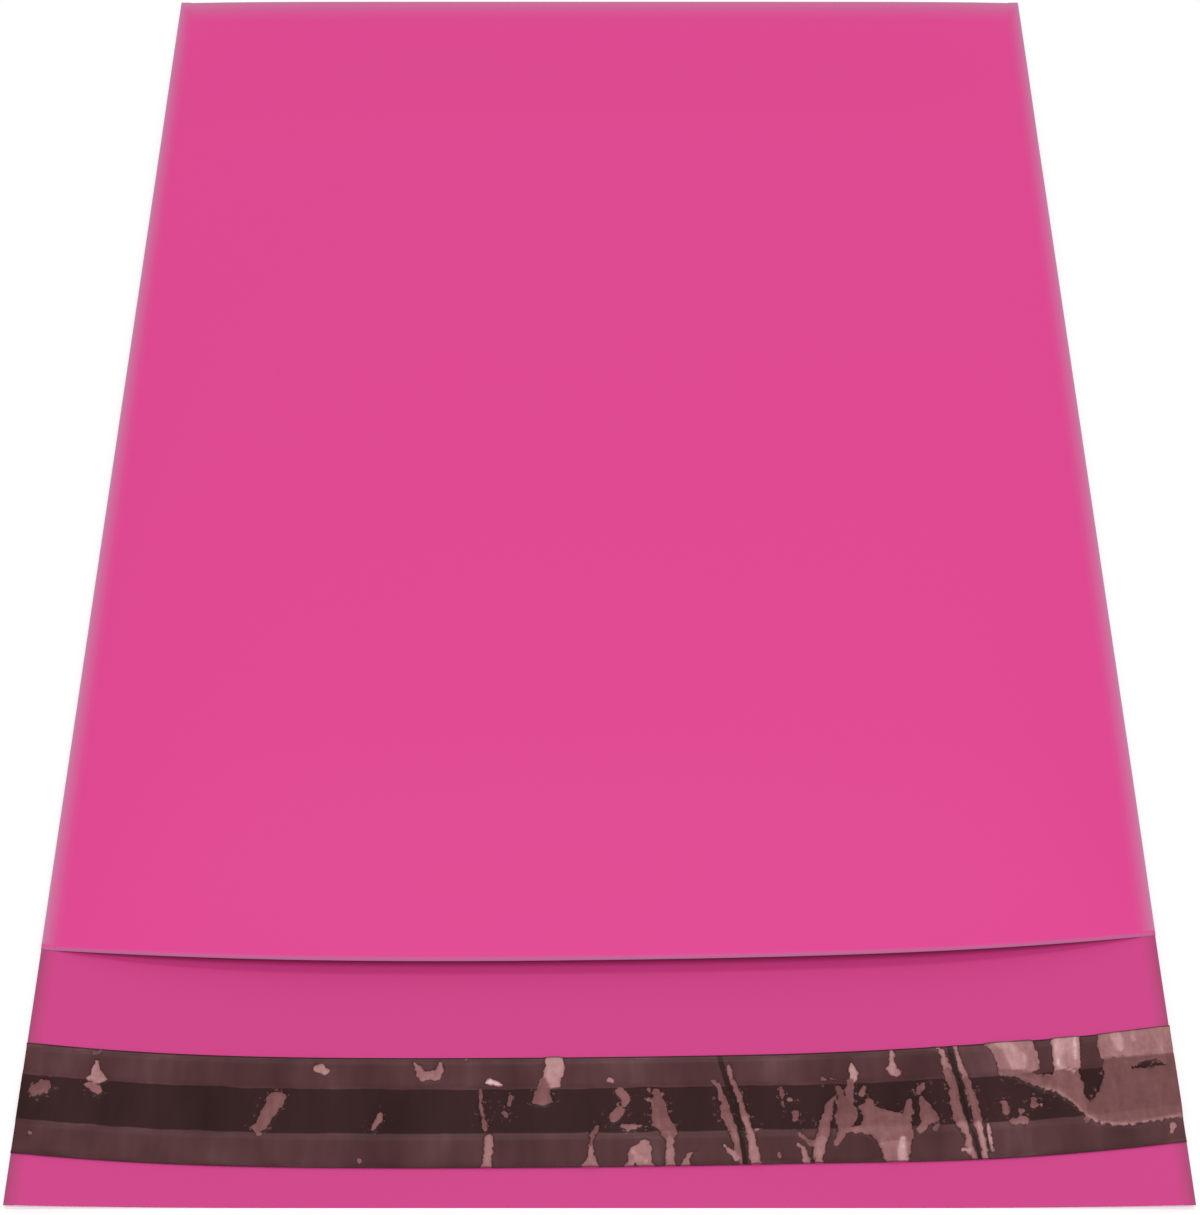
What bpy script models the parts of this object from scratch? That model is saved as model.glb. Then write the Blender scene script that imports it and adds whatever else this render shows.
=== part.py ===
"""Poly mailer bag, empty and lying on its back with the flap open.

One polyethylene film is folded up at the bottom into a back panel with a flap and a shorter
front panel, and the two panels are welded together down both sides. A band of hot melt glue
runs across the flap, under a release liner that is still on.

The bag lies along Y, with the flap's free edge at -Y, the bottom fold at +Y and the front
panel uppermost. Units are metres.
"""

import math

import bmesh
import bpy

# Film bag
BAG_WIDTH = 0.254
BAG_LENGTH = 0.390
FLAP_LENGTH = 0.0574
FILM_THICKNESS = 0.00008
SEAL_WIDTH = 0.003
SEAL_MELT = 0.0001
BEAD_PROUD = 0.00005
FOLD_RADIUS = 0.0012

# How the empty bag stands: the panels bow apart, and the film curls up towards its sides. The
# sides are drawn in by DRAW_IN, a number per metre, times the square of their lift
MOUTH_HEIGHT = 0.0050
POCKET_HEIGHT = 0.0064
SEAM_HEIGHT = 0.0020
LEFT_MOUTH_LIFT = 0.0020
RIGHT_MOUTH_LIFT = 0.0025
CORNER_LIFT = 0.0015
MOUTH_RUN = 0.060
FOLD_RUN = 0.070
FLAT_SHARE = 0.46
CURL_POWER = 2.5
CROWN_POWER = 6
DRAW_IN = 110.0

# The mouth's cut and the liner's line are not quite straight: tilt, sag and corner, each over
# half the bag's width
MOUTH_TILT = 0.0017
MOUTH_SAG = 0.0024
MOUTH_CORNER = 0.0036
LINER_TILT = 0.0016
LINER_SAG = 0.0022
LINER_CORNER = 0.0020

# Glue band and its liner
CLEARANCE = 0.0003
GLUE_WIDTH = 0.0105
GLUE_THICKNESS = 0.00012
GLUE_OFFSET = 0.0003
LINER_WIDTH = 0.0262
LINER_THICKNESS = 0.00005
LINER_FROM_EDGE = 0.0092
LINER_STEP = 0.0015

# Puckers across the liner: place along it from the bag's middle, half width, height and lean
PUCKERS = (
    (-0.0730, 0.0022, 0.0006, -0.0035),
    (-0.0240, 0.0016, 0.0005, 0.0010),
    (-0.0105, 0.0018, 0.0006, 0.0),
    (0.0300, 0.0020, 0.0009, 0.0030),
    (0.0508, 0.0018, 0.0006, -0.0041),
    (0.0640, 0.0045, 0.0005, 0.0),
    (0.0800, 0.0020, 0.0010, 0.0024),
    (0.0920, 0.0035, 0.0008, 0.0020),
    (0.1035, 0.0024, 0.0008, -0.0010),
    (0.1190, 0.0050, 0.0007, 0.0),
)

# How finely the sheets are divided
COLUMNS_A_SIDE = 10
FLAP_ROWS = 7
BODY_ROWS = 18
FOLD_ROWS = 6
MARGIN_ROWS = 2
STEPS_A_PUCKER = 2

HALF_WIDTH = BAG_WIDTH / 2
FREE_EDGE = -BAG_LENGTH / 2
FOLD_EDGE = BAG_LENGTH / 2 - BEAD_PROUD
SEAL_START = 1 - SEAL_WIDTH / HALF_WIDTH
SEAL_DEPTH = 2 * FILM_THICKNESS + SEAL_MELT
FOLD_SEAM = FOLD_RADIUS - SEAL_DEPTH / 2


def smooth(share):
    """A soft step from 0 to 1."""
    share = min(max(share, 0.0), 1.0)
    return share * share * (3 - 2 * share)


def drawn_line(across, tilt, sag, corner):
    """How far a line across the bag strays from straight, with across from -1 to 1."""
    return tilt * across + sag * across**2 + corner * across**4


def to_seal(across):
    """0 in the bag's middle and 1 from the side seal outwards."""
    return min(abs(across) / SEAL_START, 1.0)


def seam_height(across, y, from_fold):
    """Height of the side seal's underside, or of the flap's side edge."""
    mouth_lift = RIGHT_MOUTH_LIFT if across > 0 else LEFT_MOUTH_LIFT
    from_edge = y - FREE_EDGE
    height = CORNER_LIFT + (mouth_lift - CORNER_LIFT) * smooth(from_edge / FLAP_LENGTH)
    height += (SEAM_HEIGHT - mouth_lift) * smooth((from_edge - FLAP_LENGTH) / MOUTH_RUN)
    return FOLD_SEAM + (height - FOLD_SEAM) * smooth(from_fold / FOLD_RUN)


def back_height(across, y, from_fold):
    """Underside of the back panel and flap: flat in the middle and curled up at the sides."""
    curl = max(to_seal(across) - FLAT_SHARE, 0.0) / (1 - FLAT_SHARE)
    return seam_height(across, y, from_fold) * curl**CURL_POWER


def front_height(across, y, from_fold):
    """Top side of the front panel: a low crown between the side seals."""
    crown = MOUTH_HEIGHT
    crown += (POCKET_HEIGHT - MOUTH_HEIGHT) * smooth((y - mouth_y(0)) / MOUTH_RUN)
    crown = 2 * FOLD_RADIUS + (crown - 2 * FOLD_RADIUS) * smooth(from_fold / FOLD_RUN)
    seal_top = seam_height(across, y, from_fold) + SEAL_DEPTH
    return seal_top + (crown - seal_top) * (1 - to_seal(across) ** CROWN_POWER)


def mouth_y(across):
    """The front panel's cut edge."""
    return FREE_EDGE + FLAP_LENGTH + drawn_line(across, MOUTH_TILT, MOUTH_SAG, MOUTH_CORNER)


def fold_radius(across):
    """Outer radius of the bottom fold, which closes to the weld at the sides."""
    depth = front_height(across, FOLD_EDGE, 0) - back_height(across, FOLD_EDGE, 0)
    return depth / 2


def fold_start_y(across):
    return FOLD_EDGE - fold_radius(across)


def side_x(across, y, from_fold):
    """Place across the bag, drawn in by the square of the side's lift."""
    return across * (HALF_WIDTH - DRAW_IN * seam_height(across, y, from_fold) ** 2)


def film_columns():
    """Places across the bag, close together where the panels curve into the side seals."""
    inner = range(-COLUMNS_A_SIDE, COLUMNS_A_SIDE + 1)
    spread = [SEAL_START * math.sin(math.pi / 2 * k / COLUMNS_A_SIDE) for k in inner]
    return [-1.0, *spread, 1.0]


def body_shares():
    """Shares of the way from the mouth to the fold, closer together at both ends."""
    steps = [k / BODY_ROWS for k in range(BODY_ROWS + 1)]
    return [0.6 * t + 0.4 * smooth(t) for t in steps]


def flap_point(across, share):
    y = FREE_EDGE + share * (mouth_y(across) - FREE_EDGE)
    from_fold = fold_start_y(across) - y
    return side_x(across, y, from_fold), y, back_height(across, y, from_fold)


def panel_point(across, share, height):
    """A point of the back or front panel, by its share of the way from mouth to fold."""
    start, end = mouth_y(across), fold_start_y(across)
    y = start + share * (end - start)
    return side_x(across, y, end - y), y, height(across, y, end - y)


def fold_point(across, turn):
    """A point round the bottom fold, with turn from 0 at the back panel to 1 at the front."""
    radius = fold_radius(across)
    angle = math.pi * (turn - 0.5)
    y = fold_start_y(across) + radius * math.cos(angle)
    z = back_height(across, FOLD_EDGE, 0) + radius * (1 + math.sin(angle))
    return side_x(across, FOLD_EDGE, 0), y, z


def film_rows():
    """One function a row, from the flap's free edge round the fold to the mouth."""
    shares = body_shares()
    rows = [lambda u, t=k / FLAP_ROWS: flap_point(u, t) for k in range(FLAP_ROWS)]
    rows += [lambda u, t=t: panel_point(u, t, back_height) for t in shares]
    rows += [lambda u, t=k / FOLD_ROWS: fold_point(u, t) for k in range(1, FOLD_ROWS)]
    rows += [lambda u, t=t: panel_point(u, t, front_height) for t in reversed(shares)]
    return rows


def grid_object(name, columns, rows, place, outward_down):
    """A grid whose corner (i, j) stands at place(i, j)."""
    mesh = bpy.data.meshes.new(name)
    grid = bmesh.new()
    bmesh.ops.create_grid(grid, x_segments=columns, y_segments=rows, size=0.5)
    for vertex in grid.verts:
        i = round((vertex.co.x + 0.5) * columns)
        j = round((vertex.co.y + 0.5) * rows)
        vertex.co = place(i, j)
    if outward_down:
        bmesh.ops.reverse_faces(grid, faces=grid.faces)
    grid.to_mesh(mesh)
    grid.free()
    mesh.shade_smooth()
    return bpy.data.objects.new(name, mesh)


def give_thickness(piece, thickness):
    """Film grows from the modelled side towards the inside."""
    wall = piece.modifiers.new("Film thickness", "SOLIDIFY")
    wall.thickness = thickness
    wall.offset = -1


def weld_bar(name, side):
    """The melted bead that joins the two panels down one side, a little proud of both."""
    shares = body_shares()

    def place(i, j):
        across = side * (SEAL_START if i == 0 else 1.0)
        x, y, z = panel_point(across, shares[j], back_height)
        x += side * BEAD_PROUD
        if j == 0:
            y -= BEAD_PROUD
        if j == BODY_ROWS:
            y = BAG_LENGTH / 2
        return x, y, z - BEAD_PROUD

    bar = grid_object(name, 1, BODY_ROWS, place, outward_down=side > 0)
    give_thickness(bar, SEAL_DEPTH + 2 * BEAD_PROUD)
    bar.hide_render = True
    bar.display_type = "WIRE"
    return bar


def film_bag(bars):
    columns, rows = film_columns(), film_rows()

    def place(i, j):
        return rows[j](columns[i])

    bag = grid_object("film_bag", len(columns) - 1, len(rows) - 1, place, outward_down=True)
    give_thickness(bag, FILM_THICKNESS)
    for bar in bars:
        weld = bag.modifiers.new("Side weld", "BOOLEAN")
        weld.operation = "UNION"
        weld.object = bar
    return bag


def flap_top(across, y):
    """Upper side of the flap's film."""
    return back_height(across, y, fold_start_y(across) - y) + FILM_THICKNESS


def liner_middle_y(across):
    middle = FREE_EDGE + LINER_FROM_EDGE + LINER_WIDTH / 2
    return middle + drawn_line(across, LINER_TILT, LINER_SAG, LINER_CORNER)


def on_flap(across, offset, height):
    """A point this far from the liner's middle line and this high over the flap."""
    y = liner_middle_y(across) + offset
    x = side_x(across, y, fold_start_y(across) - y)
    return x, y, flap_top(across, y) + height


def glue_band():
    columns = film_columns()
    edges = (GLUE_OFFSET - GLUE_WIDTH / 2, GLUE_OFFSET + GLUE_WIDTH / 2)

    def place(i, j):
        return on_flap(columns[i], edges[j], CLEARANCE)

    band = grid_object("glue_band", len(columns) - 1, 1, place, outward_down=True)
    give_thickness(band, GLUE_THICKNESS)
    return band


def liner_columns():
    """Places along the liner: the film's own, and more of them over each pucker."""
    steps = range(-STEPS_A_PUCKER, STEPS_A_PUCKER + 1)
    over = [
        (middle + 1.6 * half_width * k / STEPS_A_PUCKER) / HALF_WIDTH
        for middle, half_width, _, _ in PUCKERS
        for k in steps
    ]
    places = sorted(film_columns() + [u for u in over if abs(u) < SEAL_START])
    apart = 0.0006 / HALF_WIDTH
    kept = [places[0]]
    for place in places[1:-1]:
        if place - kept[-1] > apart and places[-1] - place > apart:
            kept.append(place)
    return [*kept, places[-1]]


def liner_rows():
    """(offset from the liner's middle line, whether it stands on the glue) for each row."""
    half = LINER_WIDTH / 2
    near_step = GLUE_OFFSET - GLUE_WIDTH / 2 - CLEARANCE
    far_step = GLUE_OFFSET + GLUE_WIDTH / 2 + CLEARANCE
    near_margin = near_step - LINER_STEP + half
    far_margin = half - far_step - LINER_STEP
    rows = [(-half + near_margin * k / MARGIN_ROWS, 0) for k in range(MARGIN_ROWS + 1)]
    rows += [(near_step, 1), (GLUE_OFFSET, 1), (far_step, 1)]
    rows += [(half - far_margin * k / MARGIN_ROWS, 0) for k in range(MARGIN_ROWS, -1, -1)]
    return rows


def pucker_height(x, offset):
    total = 0.0
    for middle, half_width, height, lean in PUCKERS:
        away = (x - middle + lean * offset / (LINER_WIDTH / 2)) / half_width
        total += height * math.exp(-(away**2))
    return total


def release_liner():
    columns, rows = liner_columns(), liner_rows()

    def place(i, j):
        across = columns[i]
        offset, on_glue = rows[j]
        height = CLEARANCE + on_glue * (CLEARANCE + GLUE_THICKNESS)
        height += pucker_height(across * HALF_WIDTH, offset)
        return on_flap(across, offset, height)

    liner = grid_object("release_liner", len(columns) - 1, len(rows) - 1, place, True)
    give_thickness(liner, LINER_THICKNESS)
    return liner


def give_material(piece, name, colour, roughness):
    material = bpy.data.materials.new(name)
    material.use_nodes = True
    shader = material.node_tree.nodes["Principled BSDF"]
    shader.inputs["Base Color"].default_value = (*colour, 1.0)
    shader.inputs["Roughness"].default_value = roughness
    shader.inputs["Metallic"].default_value = 0.0
    piece.data.materials.append(material)


def clear_scene():
    for old in list(bpy.data.objects):
        bpy.data.objects.remove(old, do_unlink=True)


def collection_of(name, pieces, hidden=False):
    group = bpy.data.collections.new(name)
    bpy.context.scene.collection.children.link(group)
    group.hide_render = hidden
    for piece in pieces:
        group.objects.link(piece)


def main():
    clear_scene()
    bars = [weld_bar("left_weld", -1), weld_bar("right_weld", 1)]
    bag, band, liner = film_bag(bars), glue_band(), release_liner()
    give_material(bag, "Pink polyethylene film", (0.745, 0.078, 0.296), 0.45)
    give_material(band, "Hot melt glue", (0.041, 0.020, 0.021), 0.4)
    give_material(liner, "Brown release liner", (0.090, 0.040, 0.041), 0.25)
    collection_of("Poly mailer bag", [bag, band, liner])
    collection_of("Weld bars", bars, hidden=True)


main()
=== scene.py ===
"""Dresses a poly mailer bag that lies open on its back: its film, its glue band and the puckered
release liner over the glue. Sizes are in metres unless a name or a comment says millimetres."""

import math

import bmesh
import bpy
import numpy as np
from bpy.props import FloatProperty, FloatVectorProperty, IntProperty, PointerProperty, StringProperty
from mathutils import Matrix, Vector, noise


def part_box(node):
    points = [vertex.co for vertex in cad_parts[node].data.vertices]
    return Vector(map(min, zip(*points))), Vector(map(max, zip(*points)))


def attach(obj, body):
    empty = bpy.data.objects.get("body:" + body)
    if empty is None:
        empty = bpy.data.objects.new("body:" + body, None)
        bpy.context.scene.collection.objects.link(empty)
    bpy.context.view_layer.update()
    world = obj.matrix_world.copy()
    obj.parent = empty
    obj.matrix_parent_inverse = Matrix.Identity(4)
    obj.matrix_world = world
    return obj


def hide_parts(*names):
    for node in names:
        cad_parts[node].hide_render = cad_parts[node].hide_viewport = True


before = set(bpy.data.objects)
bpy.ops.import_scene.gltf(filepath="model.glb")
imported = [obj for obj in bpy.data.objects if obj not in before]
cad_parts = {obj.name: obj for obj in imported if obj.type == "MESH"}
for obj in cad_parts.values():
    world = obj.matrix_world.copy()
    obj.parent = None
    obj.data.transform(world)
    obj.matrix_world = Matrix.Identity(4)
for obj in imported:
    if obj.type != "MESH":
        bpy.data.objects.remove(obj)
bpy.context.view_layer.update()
BAG_LOW, BAG_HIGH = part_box("film_bag")

bl_info = {
    "name": "Poly Mailer Bag",
    "version": (1, 0, 0),
    "blender": (4, 5, 0),
    "location": "View3D > Sidebar > Mailer",
    "description": "Models and dresses an open poly mailer bag lying on its back",
    "category": "Add Mesh",
}

MM = 0.001

# Half the film's flat width, before the seams' curl draws the sides in
HALF_WIDTH = 0.127
FREE_EDGE = BAG_LOW[1]
FOLD_EDGE = BAG_HIGH[1]
CROWN_TOP = BAG_HIGH[2]

# Edges that turn by more than this are shaded sharp
SHARP_ANGLE = math.radians(40)


def hex_to_linear(code):
    """An sRGB hex colour as linear RGBA."""
    values = [int(code[k : k + 2], 16) / 255 for k in (0, 2, 4)]
    return [*(v / 12.92 if v <= 0.04045 else ((v + 0.055) / 1.055) ** 2.4 for v in values), 1.0]


def smooth(share):
    """A soft step from 0 to 1."""
    share = min(max(share, 0.0), 1.0)
    return share * share * (3 - 2 * share)


def length(name, text, default):
    """A size in metres, as a property that a user can change."""
    return FloatProperty(name=name, description=text, default=default, precision=5, unit="LENGTH")


def lengths(name, text, default):
    """Two or three sizes in metres, as one property."""
    size = len(default)
    return FloatVectorProperty(name=name, description=text, default=default, size=size, unit="LENGTH")


class MailerFilmSettings(bpy.types.PropertyGroup):
    """Sizes and colours of the folded and welded film."""

    flap_length: length("Flap", "From the free edge to the mouth, in the middle", 0.0574)
    film_thickness: length("Film", "Thickness of the film", 0.00008)
    seal_width: length("Side seal", "Width of the weld down each side", 0.003)
    bead_proud: length("Bead", "How far the melted bead stands proud", 0.00005)
    seal_melt: length("Melt", "Molten film between the panels", 0.0001)
    fold_radius: length("Fold radius", "Outer radius of the bottom fold", 0.0012)
    mouth_height: length("Mouth height", "Height of the front panel at the mouth", 0.0050)
    seam_height: length("Seam height", "Height of the side seams", 0.0020)
    left_mouth_lift: length("Left lift", "Height of the left seam at the mouth", 0.0020)
    right_mouth_lift: length("Right lift", "Height of the right seam at the mouth", 0.0025)
    corner_lift: length("Corner lift", "Height of the flap's corners", 0.0015)
    ripple: length("Ripple", "Height of the film's soft waves", 0.00025)
    columns_a_side: IntProperty(name="Columns", description="Mesh columns on each side", default=26)
    flap_rows: IntProperty(name="Flap rows", description="Mesh rows on the flap", default=18)
    body_rows: IntProperty(name="Body rows", description="Mesh rows from mouth to fold", default=64)
    fold_rows: IntProperty(name="Fold rows", description="Mesh rows round the fold", default=10)
    outside: StringProperty(name="Outside", description="Outer colour, sRGB hex", default="DB428D")
    inside: StringProperty(name="Inside", description="Inner colour, sRGB hex", default="CA3D84")


class MailerClosureSettings(bpy.types.PropertyGroup):
    """Sizes of the glue band and its release liner."""

    glue_width: length("Glue", "Width of the glue band", 0.0105)
    glue_thickness: length("Glue thickness", "Thickness of the glue", 0.00012)
    glue_offset: length("Glue offset", "Glue's middle from the liner's", 0.0003)
    glue_rows: IntProperty(name="Glue rows", description="Mesh rows across the glue band", default=8)
    liner_width: length("Liner", "Width of the release liner", 0.0262)
    liner_thickness: length("Liner thickness", "Thickness of the liner", 0.00005)
    liner_from_edge: length("Liner margin", "From the flap's free edge to the liner", 0.0092)
    clearance: length("Clearance", "Air between film, glue and liner", 0.0001)
    liner_cell: length("Liner cell", "Size of the liner's mesh cells", 0.0004)
    glue_step: length("Glue step", "How far beside the glue the liner comes down", 0.0015)
    edge_curl: length("Edge curl", "How far the liner's long edges lift", 0.0004)
    curl_width: length("Curl width", "Width of the lifted edges", 0.0016)
    liner_flare: FloatProperty(
        name="Liner flare", description="How much wider the liner lies at its right end", default=0.05
    )
    flare_start: FloatProperty(
        name="Flare start", description="Where it widens, as a share of half the bag's width", default=0.3
    )
    flare_run: FloatProperty(name="Flare run", description="Over which share it widens", default=0.4)


class MailerStageSettings(bpy.types.PropertyGroup):
    """Camera, light and floor."""

    lens: FloatProperty(name="Lens", description="Focal length in millimetres", default=76.73)
    elevation: FloatProperty(
        name="Elevation", description="Angle above the floor", default=math.radians(52.815), subtype="ANGLE"
    )
    distance: length("Distance", "Camera to its aim", 0.6485)
    aim: lengths("Aim", "Point on the floor at the picture's centre", (0.0001, -0.03444, 0.0))
    sky_strength: FloatProperty(name="Sky", description="Strength of the even studio light", default=0.39)
    front_power: FloatProperty(name="Front", description="Watts of the softbox in front", default=182.0)
    front_size: lengths("Front size", "Width and height of the softbox in front", (3.8, 2.0))
    front_place: lengths("Front place", "Where the softbox in front stands", (0.2, -2.1, 5.1))
    top_power: FloatProperty(name="Top", description="Watts of the softbox overhead", default=14.0)
    top_size: lengths("Top size", "Width and height of the softbox overhead", (0.7, 0.5))
    top_place: lengths("Top place", "Where the softbox overhead hangs", (0.0, 0.35, 3.0))
    floor_radius: length("Floor", "Radius of the floor", 0.9)


class MailerForm:
    """Where each point of the film lies, as in the solids that the frame holds. A place across the
    bag runs from -1 at the left side to 1 at the right."""

    # How much of each half of the back panel lies flat, and how sharply the rest curls up
    FLAT_SHARE = 0.46
    CURL_POWER = 2.5
    # How sharply the front panel's crown falls off at its seams
    CROWN_POWER = 6
    # How far a side moves in for the square of its seam's height
    DRAW_IN = 110.0
    # Runs over which the mouth passes into the crown, and the body's heights into the fold's
    MOUTH_RUN = 0.060
    FOLD_RUN = 0.070
    # Tilt, sag and rise at the corners of the mouth's line and of the liner's middle line
    MOUTH_LINE = (0.0017, 0.0024, 0.0036)
    LINER_LINE = (0.0016, 0.0022, 0.0020)
    # Length of the front panel's soft waves, how they fade at the fold, and which waves they are
    WAVE = 0.055
    WAVE_FADE = 0.030
    WAVE_SEED = 3.7
    # Share of even spacing in the body's mesh rows, which otherwise crowd at mouth and fold
    EVEN_ROWS = 0.6

    def __init__(self, film, closure):
        self.film, self.closure = film, closure
        self.seal_start = 1 - film.seal_width / HALF_WIDTH
        self.seal_depth = 2 * film.film_thickness + film.seal_melt
        self.fold_seam = film.fold_radius - self.seal_depth / 2
        self.fold_edge = FOLD_EDGE - film.bead_proud

    @staticmethod
    def drawn_line(across, line):
        tilt, sag, corner = line
        return tilt * across + sag * across**2 + corner * across**4

    def to_seal(self, across):
        return min(abs(across) / self.seal_start, 1.0)

    def wave(self, x, y):
        """A soft wave from 0 to 1."""
        return 0.5 + 0.5 * noise.noise(Vector((x / self.WAVE, y / self.WAVE, self.WAVE_SEED)))

    def seam_height(self, across, y, from_fold):
        film = self.film
        mouth_lift = film.right_mouth_lift if across > 0 else film.left_mouth_lift
        from_edge = y - FREE_EDGE
        height = film.corner_lift
        height += (mouth_lift - film.corner_lift) * smooth(from_edge / film.flap_length)
        past_mouth = (from_edge - film.flap_length) / self.MOUTH_RUN
        height += (film.seam_height - mouth_lift) * smooth(past_mouth)
        return self.fold_seam + (height - self.fold_seam) * smooth(from_fold / self.FOLD_RUN)

    def back_height(self, across, y, from_fold):
        curl = max(self.to_seal(across) - self.FLAT_SHARE, 0.0) / (1 - self.FLAT_SHARE)
        return self.seam_height(across, y, from_fold) * curl**self.CURL_POWER

    def front_height(self, across, y, from_fold):
        film = self.film
        crown = film.mouth_height
        crown += (CROWN_TOP - film.mouth_height) * smooth((y - self.mouth_y(0)) / self.MOUTH_RUN)
        fold_top = 2 * film.fold_radius
        crown = fold_top + (crown - fold_top) * smooth(from_fold / self.FOLD_RUN)
        seal_top = self.seam_height(across, y, from_fold) + self.seal_depth
        rise = 1 - self.to_seal(across) ** self.CROWN_POWER
        calm = smooth(from_fold / self.WAVE_FADE) * rise
        dip = film.ripple * calm * self.wave(across * HALF_WIDTH, y)
        return seal_top + (crown - seal_top) * rise - dip

    def mouth_y(self, across):
        return FREE_EDGE + self.film.flap_length + self.drawn_line(across, self.MOUTH_LINE)

    def fold_radius(self, across):
        depth = self.front_height(across, self.fold_edge, 0)
        return (depth - self.back_height(across, self.fold_edge, 0)) / 2

    def fold_start_y(self, across):
        return self.fold_edge - self.fold_radius(across)

    def side_x(self, across, y, from_fold):
        return across * (HALF_WIDTH - self.DRAW_IN * self.seam_height(across, y, from_fold) ** 2)

    def liner_middle_y(self, across):
        middle = FREE_EDGE + self.closure.liner_from_edge + self.closure.liner_width / 2
        return middle + self.drawn_line(across, self.LINER_LINE)

    def columns(self):
        """Places across the bag of the mesh columns, which crowd towards the seals."""
        count = self.film.columns_a_side
        inner = range(-count, count + 1)
        spread = [self.seal_start * math.sin(math.pi / 2 * k / count) for k in inner]
        return [-1.0, *spread, 1.0]

    def body_shares(self):
        steps = [k / self.film.body_rows for k in range(self.film.body_rows + 1)]
        return [self.EVEN_ROWS * t + (1 - self.EVEN_ROWS) * smooth(t) for t in steps]

    def flap_point(self, across, share):
        y = FREE_EDGE + share * (self.mouth_y(across) - FREE_EDGE)
        from_fold = self.fold_start_y(across) - y
        return self.side_x(across, y, from_fold), y, self.back_height(across, y, from_fold)

    def panel_point(self, across, share, height):
        start, end = self.mouth_y(across), self.fold_start_y(across)
        y = start + share * (end - start)
        return self.side_x(across, y, end - y), y, height(across, y, end - y)

    def fold_point(self, across, turn):
        radius = self.fold_radius(across)
        angle = math.pi * (turn - 0.5)
        y = self.fold_start_y(across) + radius * math.cos(angle)
        z = self.back_height(across, self.fold_edge, 0) + radius * (1 + math.sin(angle))
        return self.side_x(across, self.fold_edge, 0), y, z

    def film_rows(self):
        """One function a row, from the flap's free edge round the fold to the mouth."""
        shares, flap, fold = self.body_shares(), self.film.flap_rows, self.film.fold_rows
        rows = [lambda u, t=k / flap: self.flap_point(u, t) for k in range(flap)]
        rows += [lambda u, t=t: self.panel_point(u, t, self.back_height) for t in shares]
        rows += [lambda u, t=k / fold: self.fold_point(u, t) for k in range(1, fold)]
        rows += [lambda u, t=t: self.panel_point(u, t, self.front_height) for t in reversed(shares)]
        return rows

    def on_flap(self, across, offset, height):
        """A point this far from the liner's middle line and this high over the flap's film."""
        y = self.liner_middle_y(across) + offset
        from_fold = self.fold_start_y(across) - y
        top = self.back_height(across, y, from_fold) + self.film.film_thickness
        return self.side_x(across, y, from_fold), y, top + height


def grid_mesh(name, columns, rows, place, outward_down):
    """A mesh grid whose corner (i, j) stands at place(i, j)."""
    mesh = bpy.data.meshes.new(name)
    grid = bmesh.new()
    bmesh.ops.create_grid(grid, x_segments=columns, y_segments=rows, size=0.5)
    for vertex in grid.verts:
        i = round((vertex.co.x + 0.5) * columns)
        j = round((vertex.co.y + 0.5) * rows)
        vertex.co = place(i, j)
    if outward_down:
        bmesh.ops.reverse_faces(grid, faces=grid.faces)
    grid.to_mesh(mesh)
    grid.free()
    mesh.shade_smooth()
    return mesh


def add_piece(name, data):
    piece = bpy.data.objects.new(name, data)
    bpy.context.scene.collection.objects.link(piece)
    return piece


def give_thickness(piece, thickness, inside_slot=0):
    wall = piece.modifiers.new("Film thickness", "SOLIDIFY")
    wall.thickness = thickness
    wall.offset = -1
    wall.material_offset = inside_slot
    wall.material_offset_rim = inside_slot


def apply_modifiers(piece):
    """Leaves the piece with the mesh that its modifiers make."""
    graph = bpy.context.evaluated_depsgraph_get()
    mesh = bpy.data.meshes.new_from_object(piece.evaluated_get(graph))
    piece.modifiers.clear()
    old = piece.data
    piece.data = mesh
    bpy.data.meshes.remove(old)


def set_attribute(mesh, name, values):
    attribute = mesh.attributes.new(name, "FLOAT", "POINT")
    attribute.data.foreach_set("value", np.asarray(values, np.float32))


def add_node(tree, kind, settings=None, inputs=None, links=None):
    """Adds a node with its settings, its inputs' values and the sockets linked to its inputs."""
    node = tree.nodes.new(kind)
    for key, value in (settings or {}).items():
        setattr(node, key, value)
    for key, value in (inputs or {}).items():
        node.inputs[key].default_value = value
    for key, socket in (links or {}).items():
        tree.links.new(socket, node.inputs[key])
    return node


def new_material(name):
    material = bpy.data.materials.new(name)
    material.use_nodes = True
    material.node_tree.nodes.clear()
    return material, material.node_tree


def add_surface(tree, values, links):
    """Ends a material in one shader with these values and these sockets linked to it."""
    shader = add_node(tree, "ShaderNodeBsdfPrincipled", inputs=values, links=links)
    add_node(tree, "ShaderNodeOutputMaterial", links={"Surface": shader.outputs[0]})


def colour_ramp(tree, factor, stops):
    """A colour ramp whose stops are (place, sRGB hex), read from this factor socket."""
    ramp = add_node(tree, "ShaderNodeValToRGB", links={"Fac": factor})
    elements = ramp.color_ramp.elements
    while len(elements) < len(stops):
        elements.new(0.5)
    for element, (place, code) in zip(elements, stops):
        element.position = place
        element.color = hex_to_linear(code)
    return ramp.outputs["Color"]


def read_attribute(tree, name):
    return add_node(tree, "ShaderNodeAttribute", {"attribute_name": name}).outputs["Fac"]


def object_place(tree):
    return add_node(tree, "ShaderNodeTexCoord").outputs["Object"]


def rescaled(tree, place, scale):
    return add_node(tree, "ShaderNodeMapping", inputs={"Scale": scale}, links={"Vector": place}).outputs[0]


def scaled_noise(tree, place, scale, detail):
    values = {"Scale": scale, "Detail": detail}
    return add_node(tree, "ShaderNodeTexNoise", inputs=values, links={"Vector": place}).outputs["Fac"]


def even_noise(tree, place, cell_mm, detail):
    """Noise with cells of this size every way."""
    return scaled_noise(tree, place, 1 / (cell_mm * MM), detail)


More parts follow.
